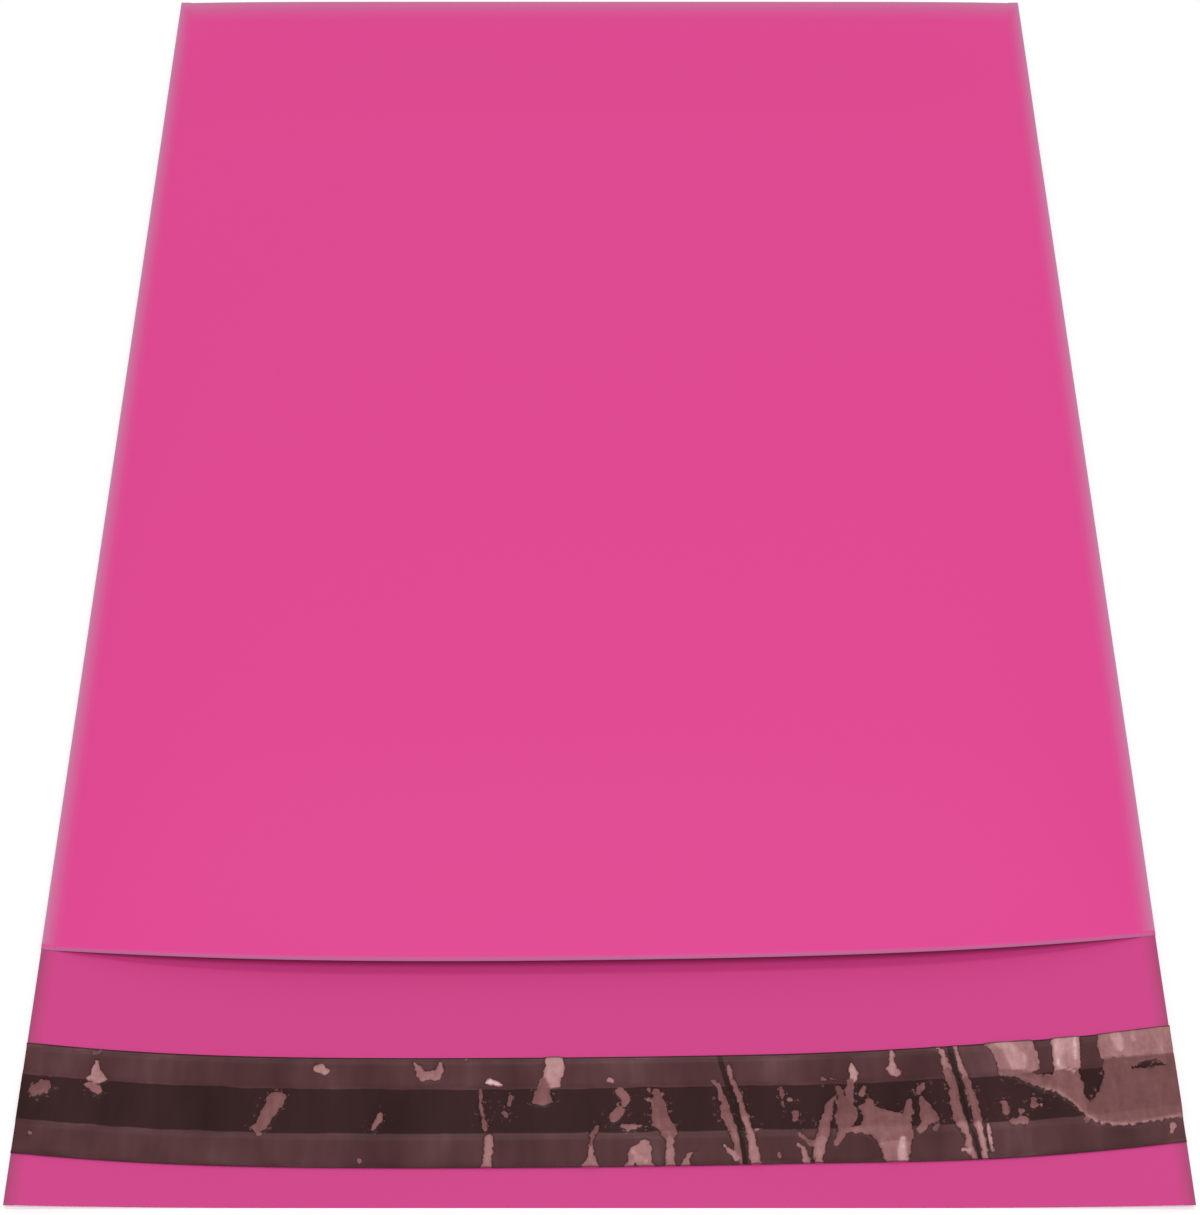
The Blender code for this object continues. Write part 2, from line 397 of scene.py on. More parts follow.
def stretched_noise(tree, place, across_mm, along_mm, detail):
    """Noise with cells of these sizes across and along the bag."""
    scale = (1 / (across_mm * MM), 1 / (along_mm * MM), 1 / MM)
    return scaled_noise(tree, rescaled(tree, place, scale), 1.0, detail)


def maths(tree, operation, *values):
    """A Math node whose inputs are sockets or numbers."""
    node = add_node(tree, "ShaderNodeMath", {"operation": operation})
    for index, value in enumerate(values):
        if isinstance(value, bpy.types.NodeSocket):
            tree.links.new(value, node.inputs[index])
        else:
            node.inputs[index].default_value = value
    return node.outputs[0]


def share_of(tree, value, full):
    """The value as a share of full, from 0 to 1."""
    limits = {"From Min": 0.0, "From Max": full}
    return add_node(tree, "ShaderNodeMapRange", {"clamp": True}, limits, {"Value": value}).outputs["Result"]


def soft_step(tree, value, limits):
    """Rises softly from 0 at the first limit to 1 at the second."""
    low, high = limits
    soft = {"clamp": True, "interpolation_type": "SMOOTHSTEP"}
    node = add_node(tree, "ShaderNodeMapRange", soft, {"From Min": low, "From Max": high}, {"Value": value})
    return node.outputs["Result"]


def varied(tree, value, noise_value, strength):
    """The value with noise added around the noise's middle."""
    return maths(tree, "MULTIPLY_ADD", maths(tree, "SUBTRACT", noise_value, 0.5), strength, value)


def mix_colours(tree, factor, first, second):
    """Mixes two colours, the second of which may be an sRGB hex code."""
    node = add_node(tree, "ShaderNodeMix", {"data_type": "RGBA"}, links={0: factor, 6: first})
    if isinstance(second, str):
        node.inputs[7].default_value = hex_to_linear(second)
    else:
        tree.links.new(second, node.inputs[7])
    return node.outputs[2]


def add_bump(tree, height, strength, distance_mm):
    values = {"Strength": strength, "Distance": distance_mm * MM}
    return add_node(tree, "ShaderNodeBump", inputs=values, links={"Height": height}).outputs["Normal"]


# The film's relief in millimetres: how far apart its die lines lie, the size of its orange peel and
# the height of both. Then how quickly the lines change along their length, as a share of across.
DIE_LINE_MM = 0.8
PEEL_MM = 1.5
FILM_RELIEF_MM = 0.02
DIE_LINE_CHANGE = 0.04

# How far in the film's colour changes, in millimetres: outside from a weld and from the bottom fold,
# where painted sheen greys it, from the mouth's cut, where a painted highlight lies, and inside from a
# weld, where painted shade darkens it
OUTER_WELD_MM = 4.4
OUTER_FOLD_MM = 9.5
LIP_MM = 1.4
INNER_WELD_MM = 3.6

# Share of the lip's width up to which the painted highlight on the lip holds
LIP_END = 0.999


def film_bump(tree):
    """Die lines of blown film, which run across the bag as its web did, over a faint orange peel."""
    place = object_place(tree)
    drawn_out = rescaled(tree, place, (DIE_LINE_CHANGE, 1.0, 1.0))
    lines = even_noise(tree, drawn_out, DIE_LINE_MM, detail=2.0)
    peel = even_noise(tree, place, PEEL_MM, detail=3.0)
    return add_bump(tree, maths(tree, "ADD", lines, peel), strength=0.25, distance_mm=FILM_RELIEF_MM)


def film_outside_material(settings):
    """Blown polyethylene with a pink masterbatch: satin and even; painted sheen greys its welds and fold."""
    material, tree = new_material("Blown polyethylene film, outside")
    side = share_of(tree, read_attribute(tree, "side_mm"), OUTER_WELD_MM)
    fold = share_of(tree, read_attribute(tree, "fold_mm"), OUTER_FOLD_MM)
    cut = share_of(tree, read_attribute(tree, "cut_mm"), LIP_MM)
    # Painted sheen: greyer and paler towards the welds and the bottom fold
    weld_fold_sheen_stops = [
        (0.0, "B486A2"),
        (0.10, "C8709A"),
        (0.25, "CB6697"),
        (0.45, "D15891"),
        (0.70, "D74C8F"),
        (1.0, settings.outside),
    ]
    # Painted highlight: a lilac-grey line along the mouth's cut edge
    lip_highlight_stops = [(0.30, "A8668C"), (0.44, "CD5893"), (1.0, settings.outside)]
    colour = colour_ramp(tree, maths(tree, "MINIMUM", side, fold), weld_fold_sheen_stops)
    lip_highlight = colour_ramp(tree, cut, lip_highlight_stops)
    colour = mix_colours(tree, maths(tree, "LESS_THAN", cut, LIP_END), colour, lip_highlight)
    add_surface(
        tree,
        {"Roughness": 0.42, "IOR": 1.51, "Specular IOR Level": 0.25},
        {"Base Color": colour, "Normal": film_bump(tree)},
    )
    return material


def film_inside_material(settings):
    """The same film's inner side, a shade deeper, darkened by painted shade in a greyer band along its side
    edges.
    """
    material, tree = new_material("Blown polyethylene film, inside")
    side = share_of(tree, read_attribute(tree, "side_mm"), INNER_WELD_MM)
    # Painted shade: darker and greyer towards the side edges
    stops = [(0.0, "974D70"), (0.07, "A04870"), (0.14, "AC4172"), (0.42, "BA4079"), (1.0, settings.inside)]
    add_surface(
        tree,
        {"Roughness": 0.45, "IOR": 1.51, "Specular IOR Level": 0.25},
        {"Base Color": colour_ramp(tree, side, stops), "Normal": film_bump(tree)},
    )
    return material


def glue_material():
    """Hot melt glue: a dark amber, slightly wavy band with a wet look."""
    material, tree = new_material("Hot melt glue")
    waves = even_noise(tree, object_place(tree), cell_mm=3, detail=2.0)
    colour = colour_ramp(tree, waves, [(0.3, "38241F"), (0.7, "4A3029")])
    add_surface(
        tree,
        {"Roughness": 0.3, "IOR": 1.5, "Specular IOR Level": 0.3},
        {"Base Color": colour, "Normal": add_bump(tree, waves, strength=0.4, distance_mm=0.05)},
    )
    return material


# The liner's noises: their cells across and along the bag, in millimetres, and their detail
STREAKS = (16, 40, 3.0)
FINE_STREAKS = (2.5, 14, 3.0)
GLUE_WANDER = (7, 7, 3.0)
GRAIN = (1.2, 1.5, 2.5)
SHEEN = (1.8, 6, 3.0)
FLECKS = (1.0, 0.9, 2.0)

# How strongly each noise shows
STREAK_STRENGTH = 0.92
FINE_STRENGTH = 0.18
SHEEN_STRENGTH = 0.36
GRAIN_STRENGTH = 0.25

# The liner's colours beside the glue and over it, by tone, and where it is loose, by brightness; the pale
# brown there is real and its brighter tones are painted glare and highlights
MARGIN_TONES = ((0.38, "472C2E"), (0.50, "503234"), (0.60, "58393B"), (0.72, "664648"))
GLUE_TONES = ((0.38, "2F1C1C"), (0.70, "3C2526"))
LOOSE_AND_GLARE_TONES = (
    (0.10, "684444"),
    (0.30, "774E4F"),
    (0.50, "8A5D5E"),
    (0.70, "A37676"),
    (0.90, "BF9594"),
    (1.0, "D8B8B6"),
)

# Where the glue's dark band ends, in millimetres from the glue plus a wander of up to 1 mm, how much
# brighter a loose part is past it, and how much all loose parts are dimmed
GLUE_END = (0.36, 0.66)
PAST_GLUE = 0.06
LOOSE_DIMMING = 0.05

# The outline of a loose part and the dark rim around it, as depths in millimetres inside its stroke
# plus the grain's share and less a shift that keeps the outline in its place
OUTLINE = (-0.14, 0.20)
RIM = (-0.45, -0.05)
RAGGED_MM = 1.8
RAGGED_SHIFT_MM = 0.85

# Flecks: the noise values between which one sets in, and where they fade away from loose parts, as
# depths in a stroke, and past the glue's dark band, both in millimetres
FLECK_CUT = (0.60, 0.68)
FLECK_REACH = (-2.6, -0.4)
FLECK_ZONE = (0.9, 0.4)

# A crease's side, how far the grain moves it, and the liner's cut edge, in millimetres, over which painted
# shade and a painted shadow set in
CREASE_SIDE = (0.05, 0.45)
CREASE_GRAIN_MM = 0.4
CUT_EDGE_SHADOW = (0.4, 0.1)

# Colour and strength of the flecks, the rims, the painted shade in the creases and the painted shadow at the
# cut edges
FLECK_TINT = ("875C5C", 0.55)
RIM_TINT = ("271616", 0.45)
CREASE_SHADE_TINT = ("291B18", 0.8)
EDGE_SHADOW_TINT = ("35191F", 0.7)


def tinted(tree, colour, amount, tint):
    """The colour with this tint laid over it, by an amount from 0 to 1."""
    code, strength = tint
    return mix_colours(tree, maths(tree, "MULTIPLY", amount, strength), colour, code)


def loose_and_glare_colour(tree, place, grain, past_glue):
    """Pale brown with a painted, drawn-out sheen and painted glare at higher brightness, by the brightness of
    each loose part.
    """
    sheen = stretched_noise(tree, place, *SHEEN)
    level = varied(tree, read_attribute(tree, "bright"), sheen, SHEEN_STRENGTH)
    level = varied(tree, level, grain, GRAIN_STRENGTH)
    level = maths(tree, "MULTIPLY_ADD", past_glue, PAST_GLUE, level)
    return colour_ramp(tree, maths(tree, "SUBTRACT", level, LOOSE_DIMMING), LOOSE_AND_GLARE_TONES)


def liner_material():
    """Silicone-coated release film: thin, brown and glossy, pale where it has come off the glue, with painted
    glare there, painted shade in its creases and a painted shadow along its cut edges.
    """
    material, tree = new_material("Silicone-coated release film")
    place = object_place(tree)
    loose_and_glare_mm = read_attribute(tree, "loose_and_glare_mm")
    streaks = maths(tree, "MULTIPLY", stretched_noise(tree, place, *STREAKS), STREAK_STRENGTH)
    tone = maths(tree, "MULTIPLY_ADD", stretched_noise(tree, place, *FINE_STREAKS), FINE_STRENGTH, streaks)
    wander = stretched_noise(tree, place, *GLUE_WANDER)
    glue_edge = maths(tree, "ADD", wander, read_attribute(tree, "from_glue_mm"))
    past_glue = soft_step(tree, glue_edge, GLUE_END)
    over_glue = colour_ramp(tree, tone, GLUE_TONES)
    colour = mix_colours(tree, past_glue, over_glue, colour_ramp(tree, tone, MARGIN_TONES))

    flecks = soft_step(tree, stretched_noise(tree, place, *FLECKS), FLECK_CUT)
    near = soft_step(tree, loose_and_glare_mm, FLECK_REACH)
    near = maths(tree, "MULTIPLY", near, soft_step(tree, glue_edge, FLECK_ZONE))
    colour = tinted(tree, colour, maths(tree, "MULTIPLY", flecks, near), FLECK_TINT)

    grain = stretched_noise(tree, place, *GRAIN)
    ragged = maths(tree, "MULTIPLY_ADD", grain, RAGGED_MM, loose_and_glare_mm)
    ragged = maths(tree, "SUBTRACT", ragged, RAGGED_SHIFT_MM)
    colour = tinted(tree, colour, soft_step(tree, ragged, RIM), RIM_TINT)
    # Pale where the liner has come off the glue, with painted glare and highlights on it
    pale = loose_and_glare_colour(tree, place, grain, past_glue)
    colour = mix_colours(tree, soft_step(tree, ragged, OUTLINE), colour, pale)

    # Painted shade in the creases
    crease = maths(tree, "MULTIPLY_ADD", grain, CREASE_GRAIN_MM, read_attribute(tree, "crease_mm"))
    colour = tinted(tree, colour, soft_step(tree, crease, CREASE_SIDE), CREASE_SHADE_TINT)
    # Painted shadow: darker along the liner's long cut edges
    edge = soft_step(tree, read_attribute(tree, "from_edge_mm"), CUT_EDGE_SHADOW)
    colour = tinted(tree, colour, edge, EDGE_SHADOW_TINT)
    add_surface(
        tree,
        {"Roughness": 0.3, "IOR": 1.5, "Specular IOR Level": 0.06},
        {"Base Color": colour, "Normal": add_bump(tree, tone, strength=0.3, distance_mm=0.1)},
    )
    return material


def floor_material():
    """Matt white paper sweep."""
    material, tree = new_material("White paper sweep")
    fibre = even_noise(tree, object_place(tree), cell_mm=2, detail=3.0)
    colour = colour_ramp(tree, fibre, [(0.0, "FDFDFD"), (1.0, "FFFFFF")])
    add_surface(tree, {"Roughness": 0.9, "Specular IOR Level": 0.0}, {"Base Color": colour})
    return material


def weld_bar(form, side):
    """The melted bead down one side, as a helper that the film bag is joined with."""
    shares = form.body_shares()
    proud = form.film.bead_proud

    def place(i, j):
        across = side * (form.seal_start if i == 0 else 1.0)
        x, y, z = form.panel_point(across, shares[j], form.back_height)
        x += side * proud
        if j == 0:
            y -= proud
        if j == len(shares) - 1:
            y = FOLD_EDGE
        return x, y, z - proud

    mesh = grid_mesh("Weld bar", 1, len(shares) - 1, place, outward_down=side > 0)
    bar = add_piece("Weld bar", mesh)
    give_thickness(bar, form.seal_depth + 2 * proud)
    return bar


# How far ahead of the mouth's line a point still counts as its cut, and what stands for far away
CUT_TOLERANCE = 0.1 * MM
FAR_MM = 100.0


def film_measures(form, mesh):
    """Distances in millimetres from the side edges, the bottom fold and the mouth's cut."""
    side_mm, fold_mm, cut_mm = [], [], []
    for vertex in mesh.vertices:
        x, y, z = vertex.co
        across = max(-1.0, min(1.0, x / HALF_WIDTH))
        from_fold = max(form.fold_start_y(across) - y, 0.0)
        edge_x = abs(form.side_x(math.copysign(1.0, x), y, from_fold))
        side_mm.append(max(edge_x - abs(x), 0.0) / MM)
        fold_mm.append(max(form.fold_edge - y, 0.0) / MM)
        past_mouth = y - form.mouth_y(across)
        middle = (form.back_height(across, y, from_fold) + form.front_height(across, y, from_fold)) / 2
        on_front = z > middle and past_mouth > -CUT_TOLERANCE
        cut_mm.append(max(past_mouth, 0.0) / MM if on_front else FAR_MM)
    set_attribute(mesh, "side_mm", side_mm)
    set_attribute(mesh, "fold_mm", fold_mm)
    set_attribute(mesh, "cut_mm", cut_mm)


class MAILER_OT_film_bag(bpy.types.Operator):
    """Makes the folded film with its welded sides"""

    bl_idname = "mailer.film_bag"
    bl_label = "Film Bag"

    def execute(self, context):
        film = context.scene.mailer_film
        form = MailerForm(film, context.scene.mailer_closure)
        columns, rows = form.columns(), form.film_rows()

        def place(i, j):
            return rows[j](columns[i])

        mesh = grid_mesh("Folded film", len(columns) - 1, len(rows) - 1, place, outward_down=True)
        mesh.materials.append(film_outside_material(film))
        mesh.materials.append(film_inside_material(film))
        bag = add_piece("folded_film", mesh)
        give_thickness(bag, film.film_thickness, inside_slot=1)
        bars = [weld_bar(form, side) for side in (-1, 1)]
        for bar in bars:
            weld = bag.modifiers.new("Side weld", "BOOLEAN")
            weld.operation = "UNION"
            weld.object = bar
        apply_modifiers(bag)
        for bar in bars:
            bpy.data.objects.remove(bar, do_unlink=True)
        film_measures(form, bag.data)
        bag.data.set_sharp_from_angle(angle=SHARP_ANGLE)
        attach(bag, "root")
        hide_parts("film_bag")
        return {"FINISHED"}


class MAILER_OT_glue_band(bpy.types.Operator):
    """Lays the band of hot melt glue across the flap"""

    bl_idname = "mailer.glue_band"
    bl_label = "Glue Band"

    def execute(self, context):
        closure = context.scene.mailer_closure
        form = MailerForm(context.scene.mailer_film, closure)
        columns, rows = form.columns(), closure.glue_rows

        def place(i, j):
            offset = closure.glue_offset + closure.glue_width * (j / rows - 0.5)
            return form.on_flap(columns[i], offset, closure.clearance)

        mesh = grid_mesh("Glue band", len(columns) - 1, rows, place, outward_down=True)
        mesh.materials.append(glue_material())
        band = add_piece("hot_melt_band", mesh)
        give_thickness(band, closure.glue_thickness)
        apply_modifiers(band)
        band.data.set_sharp_from_angle(angle=SHARP_ANGLE)
        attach(band, "root")
        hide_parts("glue_band")
        return {"FINISHED"}


# Where the liner has come off the glue or is puckered, and where glare is painted on it. Each stroke is a
# brightness, whose higher values are painted glare and highlights, and a height in millimetres, then its
# points: places across the bag and off the liner's middle line, and the stroke's width there, all in
# millimetres.
LOOSE_AND_GLARE_STROKES = (
    (0.34, 0.30, ((-124.2, 1.9, 2.6), (-122.6, 2.7, 3.6), (-121.2, 3.2, 2.8))),
    (0.25, 0.05, ((-112.0, 12.2, 0.8), (-110.6, 12.5, 0.9))),
    (0.74, 0.35, ((-111.2, 10.4, 0.5), (-111.0, 8.4, 2.0), (-110.6, 6.8, 3.4), (-110.5, 5.9, 4.6))),
    (0.55, 0.25, ((-112.8, 4.4, 1.0), (-111.3, 4.0, 2.2), (-110.0, 3.2, 2.0))),
    (0.45, 0.10, ((-123.6, -7.8, 0.7), (-123.3, -7.9, 0.7))),
    (0.38, 0.45, ((-70.8, 3.8, 3.8), (-71.4, 1.6, 3.9), (-72.7, -1.4, 3.2), (-73.6, -3.8, 2.4))),
    (0.40, 0.20, ((-75.1, -4.0, 1.4), (-74.1, -5.2, 1.5))),
    (0.72, 0.20, ((-62.4, 10.6, 1.9), (-61.2, 10.4, 2.3), (-60.5, 10.0, 1.8))),
    (0.48, 0.20, ((-47.9, -0.6, 1.2), (-48.2, -2.0, 1.6), (-49.4, -3.8, 0.9))),
    (0.45, 0.10, ((-52.2, -11.0, 0.7), (-51.8, -11.4, 1.0))),
    (0.62, 0.30, ((-41.2, 12.3, 0.4), (-40.2, 11.2, 1.2), (-39.4, 9.6, 2.0), (-38.9, 8.4, 2.0))),
    (0.62, 0.30, ((-35.3, 11.9, 0.8), (-35.2, 10.8, 1.8), (-35.8, 9.4, 2.2), (-36.2, 8.4, 1.8))),
    (0.58, 0.30, ((-39.6, 9.2, 1.6), (-37.6, 9.2, 1.9), (-35.8, 9.2, 1.8))),
    (0.30, 0.05, ((-29.6, 12.8, 0.5), (-29.1, 12.8, 0.5))),
    (1.00, 0.30, ((-25.0, 7.1, 1.0), (-24.0, 7.5, 1.5), (-22.3, 6.9, 0.8), (-21.4, 6.6, 0.3))),
    (0.32, 0.30, ((-26.2, 5.6, 0.5), (-26.1, 1.4, 0.5), (-25.4, -1.4, 0.8), (-24.8, -3.8, 1.2))),
    (0.32, 0.10, ((-19.4, 3.4, 1.4), (-19.9, 1.9, 0.7))),
    (0.32, 0.10, ((-20.9, 0.0, 0.8), (-20.4, -1.0, 0.7))),
    (0.62, 0.40, ((-24.0, -5.8, 1.4), (-24.0, -8.0, 1.7), (-24.3, -10.6, 1.8), (-24.4, -13.1, 2.4))),
    (0.80, 0.50, ((-10.1, 13.1, 3.8), (-10.0, 11.0, 4.2), (-10.3, 8.6, 4.4), (-10.6, 6.4, 3.8))),
    (0.42, 0.40, (
        (-12.6, 7.6, 1.6), (-12.3, 6.0, 2.6), (-12.4, 4.6, 3.4), (-12.6, 3.0, 4.6), (-12.6, 2.4, 4.4),
    )),
    (0.30, 0.30, ((-0.6, -3.9, 1.0), (-1.6, -5.4, 1.2), (-1.9, -8.0, 0.8))),
    (0.62, 0.40, ((-1.9, -8.4, 0.6), (-1.9, -10.6, 1.6), (-2.0, -13.1, 3.8))),
    (0.72, 0.10, ((2.1, 7.7, 1.0), (2.7, 7.5, 1.2))),
    (0.52, 0.20, ((4.4, 4.9, 1.8), (5.2, 3.8, 2.6), (5.9, 2.7, 2.0), (5.2, 1.4, 1.3))),
    (0.45, 0.15, ((4.1, 1.6, 0.9), (5.1, 0.4, 1.3))),
    (0.48, 0.20, ((4.4, 0.6, 1.8), (3.8, -0.4, 2.7), (3.2, -1.8, 2.5))),
    (0.58, 0.20, ((4.4, -3.4, 0.5), (6.4, -3.9, 1.5), (9.4, -3.5, 0.5))),
    (0.40, 0.10, ((10.9, 5.3, 0.8), (11.2, 4.2, 0.7))),
    (0.48, 0.10, ((10.0, 2.9, 0.6), (11.4, 2.5, 1.0), (13.5, 3.9, 1.3))),
    (0.32, 0.30, (
        (12.3, 4.6, 1.4), (12.7, 3.0, 2.4), (12.9, 1.2, 3.0), (13.1, -0.8, 3.8), (13.7, -3.2, 4.2),
    )),
    (0.42, 0.30, ((13.9, -2.6, 3.6), (14.9, -4.8, 3.6), (15.3, -6.8, 2.0))),
    (0.66, 0.40, ((15.3, -6.8, 1.5), (15.2, -9.2, 1.6), (15.1, -11.4, 1.7), (15.3, -13.1, 2.6))),
    (0.66, 0.30, (
        (9.8, -7.5, 2.2), (9.0, -8.4, 4.4), (8.7, -10.0, 5.2), (8.6, -12.2, 5.2), (8.8, -13.1, 7.0),
    )),
    (0.80, 0.30, ((7.4, -9.4, 1.6), (7.9, -10.8, 2.0), (9.8, -11.8, 1.2))),
    (0.60, 0.20, ((21.0, -9.6, 0.4), (19.7, -10.0, 1.3), (18.8, -11.6, 1.2), (18.5, -13.1, 1.8))),
    (0.38, 0.30, ((25.2, 6.8, 1.4), (25.8, 6.1, 1.2), (26.4, 4.8, 0.9), (27.1, 2.2, 1.5), (27.7, -1.2, 2.2))),
    (0.46, 0.60, (
        (27.7, -1.2, 2.2), (28.6, -4.0, 2.0), (29.6, -6.8, 1.5), (30.0, -10.0, 1.5), (30.8, -13.1, 0.8),
    )),
    (0.72, 0.40, ((27.1, -8.5, 0.9), (28.4, -9.8, 1.4), (29.8, -11.6, 1.4))),
    (0.52, 0.60, (
        (28.5, 10.6, 0.6), (29.3, 6.8, 1.1), (30.0, 4.4, 1.3), (31.0, 1.0, 1.3), (31.9, -2.6, 1.5),
    )),
    (0.66, 0.60, (
        (31.9, -2.6, 1.5), (32.6, -4.8, 1.5), (33.1, -8.0, 1.7), (33.5, -10.8, 2.0), (33.9, -13.1, 2.2),
    )),
    (0.60, 0.10, ((33.4, -4.9, 0.8), (34.4, -4.8, 0.7))),
    (0.60, 0.10, ((41.5, 2.1, 0.9), (41.9, 1.9, 0.8))),
    (0.32, 0.15, ((42.9, -1.2, 1.3), (42.5, -2.6, 1.1))),
    (0.22, 0.10, ((40.0, 5.0, 0.5), (40.1, 1.0, 0.5))),
    (0.30, 0.10, ((38.8, -10.9, 0.8), (39.0, -11.0, 0.8))),
    (0.68, 0.20, ((43.0, -8.6, 0.8), (43.9, -9.2, 1.2), (44.2, -10.8, 1.4), (44.8, -13.1, 1.4))),
    (0.35, 0.20, ((43.6, -6.0, 1.0), (45.2, -7.9, 1.4), (46.4, -8.4, 1.6))),
    (0.42, 0.50, (
        (52.0, 2.8, 0.7), (50.6, 0.6, 1.8), (49.5, -2.6, 2.1), (48.7, -5.6, 2.6), (48.2, -7.6, 2.5),
    )),
    (0.64, 0.50, ((48.2, -7.6, 2.5), (47.4, -10.0, 2.6), (47.2, -13.1, 1.8))),
    (0.82, 0.20, ((55.8, 10.0, 0.7), (56.1, 8.2, 1.8), (56.1, 6.7, 1.7))),
    (0.36, 0.20, ((55.3, 6.0, 1.5), (55.0, 3.4, 1.8), (54.7, 1.2, 2.4))),
    (0.24, 0.30, ((52.5, 4.4, 1.3), (53.2, 2.2, 1.7), (54.0, 0.0, 3.8), (54.0, -2.6, 4.6))),
    (0.34, 0.30, ((54.0, -2.6, 4.6), (53.2, -5.0, 3.0), (52.4, -7.0, 1.6), (51.5, -8.6, 0.9))),
    (0.45, 0.10, ((58.3, 4.4, 0.8), (57.5, 3.0, 1.5))),
    (0.46, 0.20, (
        (51.6, -8.0, 1.4), (52.8, -6.4, 1.4), (54.8, -5.3, 1.3), (57.0, -5.2, 1.4), (58.8, -5.9, 1.8),
    )),
    (0.40, 0.30, (
        (59.0, 1.0, 1.6), (58.4, 0.0, 3.4), (59.8, -1.0, 5.0), (62.4, -2.4, 10.0), (62.4, -4.8, 11.2),
    )),
    (0.44, 0.40, ((62.4, -4.8, 11.2), (63.9, -7.4, 8.6), (64.1, -9.0, 7.0))),
    (0.60, 0.40, ((64.1, -9.0, 7.0), (64.2, -10.8, 5.8), (64.3, -13.1, 4.8))),
    (0.88, 0.50, ((65.9, -7.8, 1.2), (65.5, -10.0, 1.8), (65.5, -13.1, 2.2))),
    (0.38, 0.20, ((67.9, 0.8, 1.2), (67.5, -1.4, 2.2), (67.3, -3.0, 2.4))),
    (0.70, 0.20, ((64.9, 12.3, 1.0), (65.0, 10.3, 1.0), (64.6, 8.7, 2.4), (65.5, 7.5, 2.4))),
    (0.38, 0.10, ((49.2, 6.8, 0.9), (49.7, 6.7, 0.7))),
    (0.38, 0.10, ((51.2, 6.9, 0.7), (52.2, 6.9, 0.7))),
    (0.36, 0.10, ((71.2, 4.8, 0.8), (70.6, 3.6, 1.5), (70.1, 2.6, 1.2))),
    (0.34, 0.30, ((70.6, 1.4, 1.0), (71.4, -0.8, 2.4), (71.8, -2.4, 3.8), (72.0, -3.5, 4.4))),
    (0.42, 0.20, ((72.0, -3.5, 2.6), (70.6, -4.9, 2.4), (69.8, -6.2, 1.0))),
    (0.20, 0.10, ((73.2, -5.6, 1.2), (73.8, -4.9, 1.0))),
    (0.62, 0.50, ((74.4, 13.1, 0.8), (76.2, 12.2, 1.2), (76.6, 9.6, 1.3), (77.0, 7.2, 2.2))),
    (0.44, 0.70, (
        (77.0, 7.2, 2.2), (77.8, 4.5, 1.9), (77.9, 0.2, 2.2), (78.3, -2.6, 2.6), (79.0, -5.2, 2.4),
    )),
    (0.62, 0.60, ((79.0, -5.2, 2.4), (80.0, -7.6, 1.4), (80.2, -9.6, 1.7), (80.9, -12.6, 1.1))),
    (0.80, 0.20, ((78.7, -10.5, 0.7), (80.0, -10.9, 1.1))),
    (0.62, 0.50, ((79.1, 13.1, 0.9), (79.9, 8.6, 1.3), (80.8, 5.2, 1.3))),
    (0.46, 0.70, ((80.8, 5.2, 1.3), (81.5, 1.5, 1.8), (82.2, -2.5, 1.8), (82.6, -5.5, 1.9))),
    (0.72, 0.60, ((82.6, -5.5, 1.9), (83.0, -8.5, 1.3), (83.3, -12.6, 1.2))),
    (0.80, 0.30, ((84.6, -5.4, 0.6), (84.8, -8.6, 0.8), (85.2, -11.4, 0.5))),
    (0.40, 0.20, ((88.5, -0.6, 1.2), (89.0, -2.5, 2.1))),
    (0.40, 0.10, ((92.0, -2.7, 1.1), (92.5, -2.7, 1.0))),
    (0.50, 0.20, ((89.8, -4.9, 1.4), (91.2, -5.0, 1.6), (92.8, -4.8, 1.5))),
    (0.36, 0.10, ((95.2, -0.5, 1.4), (95.0, -1.5, 1.8))),
    (0.66, 0.10, ((96.6, -1.7, 0.7), (97.2, -1.8, 0.7))),
    (0.22, 0.10, ((106.1, -5.7, 0.9), (106.2, -6.2, 0.8))),
    (0.62, 0.50, (
        (91.2, 13.1, 10.8), (91.9, 12.0, 10.2), (92.6, 10.0, 9.6), (92.8, 8.0, 9.4), (92.9, 6.6, 8.8),
    )),
    (0.80, 0.60, ((89.2, 13.1, 4.0), (91.2, 11.6, 3.6), (92.4, 9.4, 4.4), (92.6, 7.2, 3.4))),
    (0.40, 0.40, ((88.4, 6.4, 0.9), (92.0, 5.6, 1.6), (95.0, 4.4, 2.6), (98.4, 3.2, 3.4), (101.0, 3.0, 3.6))),
    (0.74, 0.50, ((103.7, 13.1, 6.2), (103.6, 9.6, 6.0), (103.4, 6.6, 5.8), (102.9, 4.6, 5.4))),
    (0.44, 0.50, (
        (102.9, 5.2, 5.6), (103.4, 3.2, 5.2), (104.3, 1.2, 4.0), (105.2, -0.8, 3.0), (106.4, -2.6, 2.6),
    )),
    (0.90, 0.70, (
        (101.7, 13.1, 1.2), (101.6, 9.6, 1.2), (101.6, 7.2, 1.2), (102.6, 5.9, 1.5), (104.6, 5.2, 0.9),
    )),
    (0.92, 0.70, ((105.8, 13.0, 0.8), (105.5, 10.0, 0.8), (105.4, 8.2, 0.7))),
    (0.38, 0.40, (
        (100.8, 2.4, 2.8), (103.0, 0.8, 2.6), (105.2, -2.2, 3.0), (108.2, -4.8, 3.6), (112.0, -5.6, 4.0),
    )),
    (0.28, 0.40, (
        (107.2, -3.4, 2.6), (108.4, -2.8, 4.6), (109.6, -2.0, 6.6), (110.8, -0.2, 11.0), (112.0, 0.8, 13.4),
        (127.0, 0.9, 13.4),
    )),
    (0.29, 0.40, ((112.0, -5.6, 3.8), (119.0, -6.0, 3.6), (127.0, -5.4, 3.8))),
    (0.60, 0.50, ((111.4, 10.5, 5.8), (118.0, 10.5, 6.4), (127.0, 10.2, 6.8))),
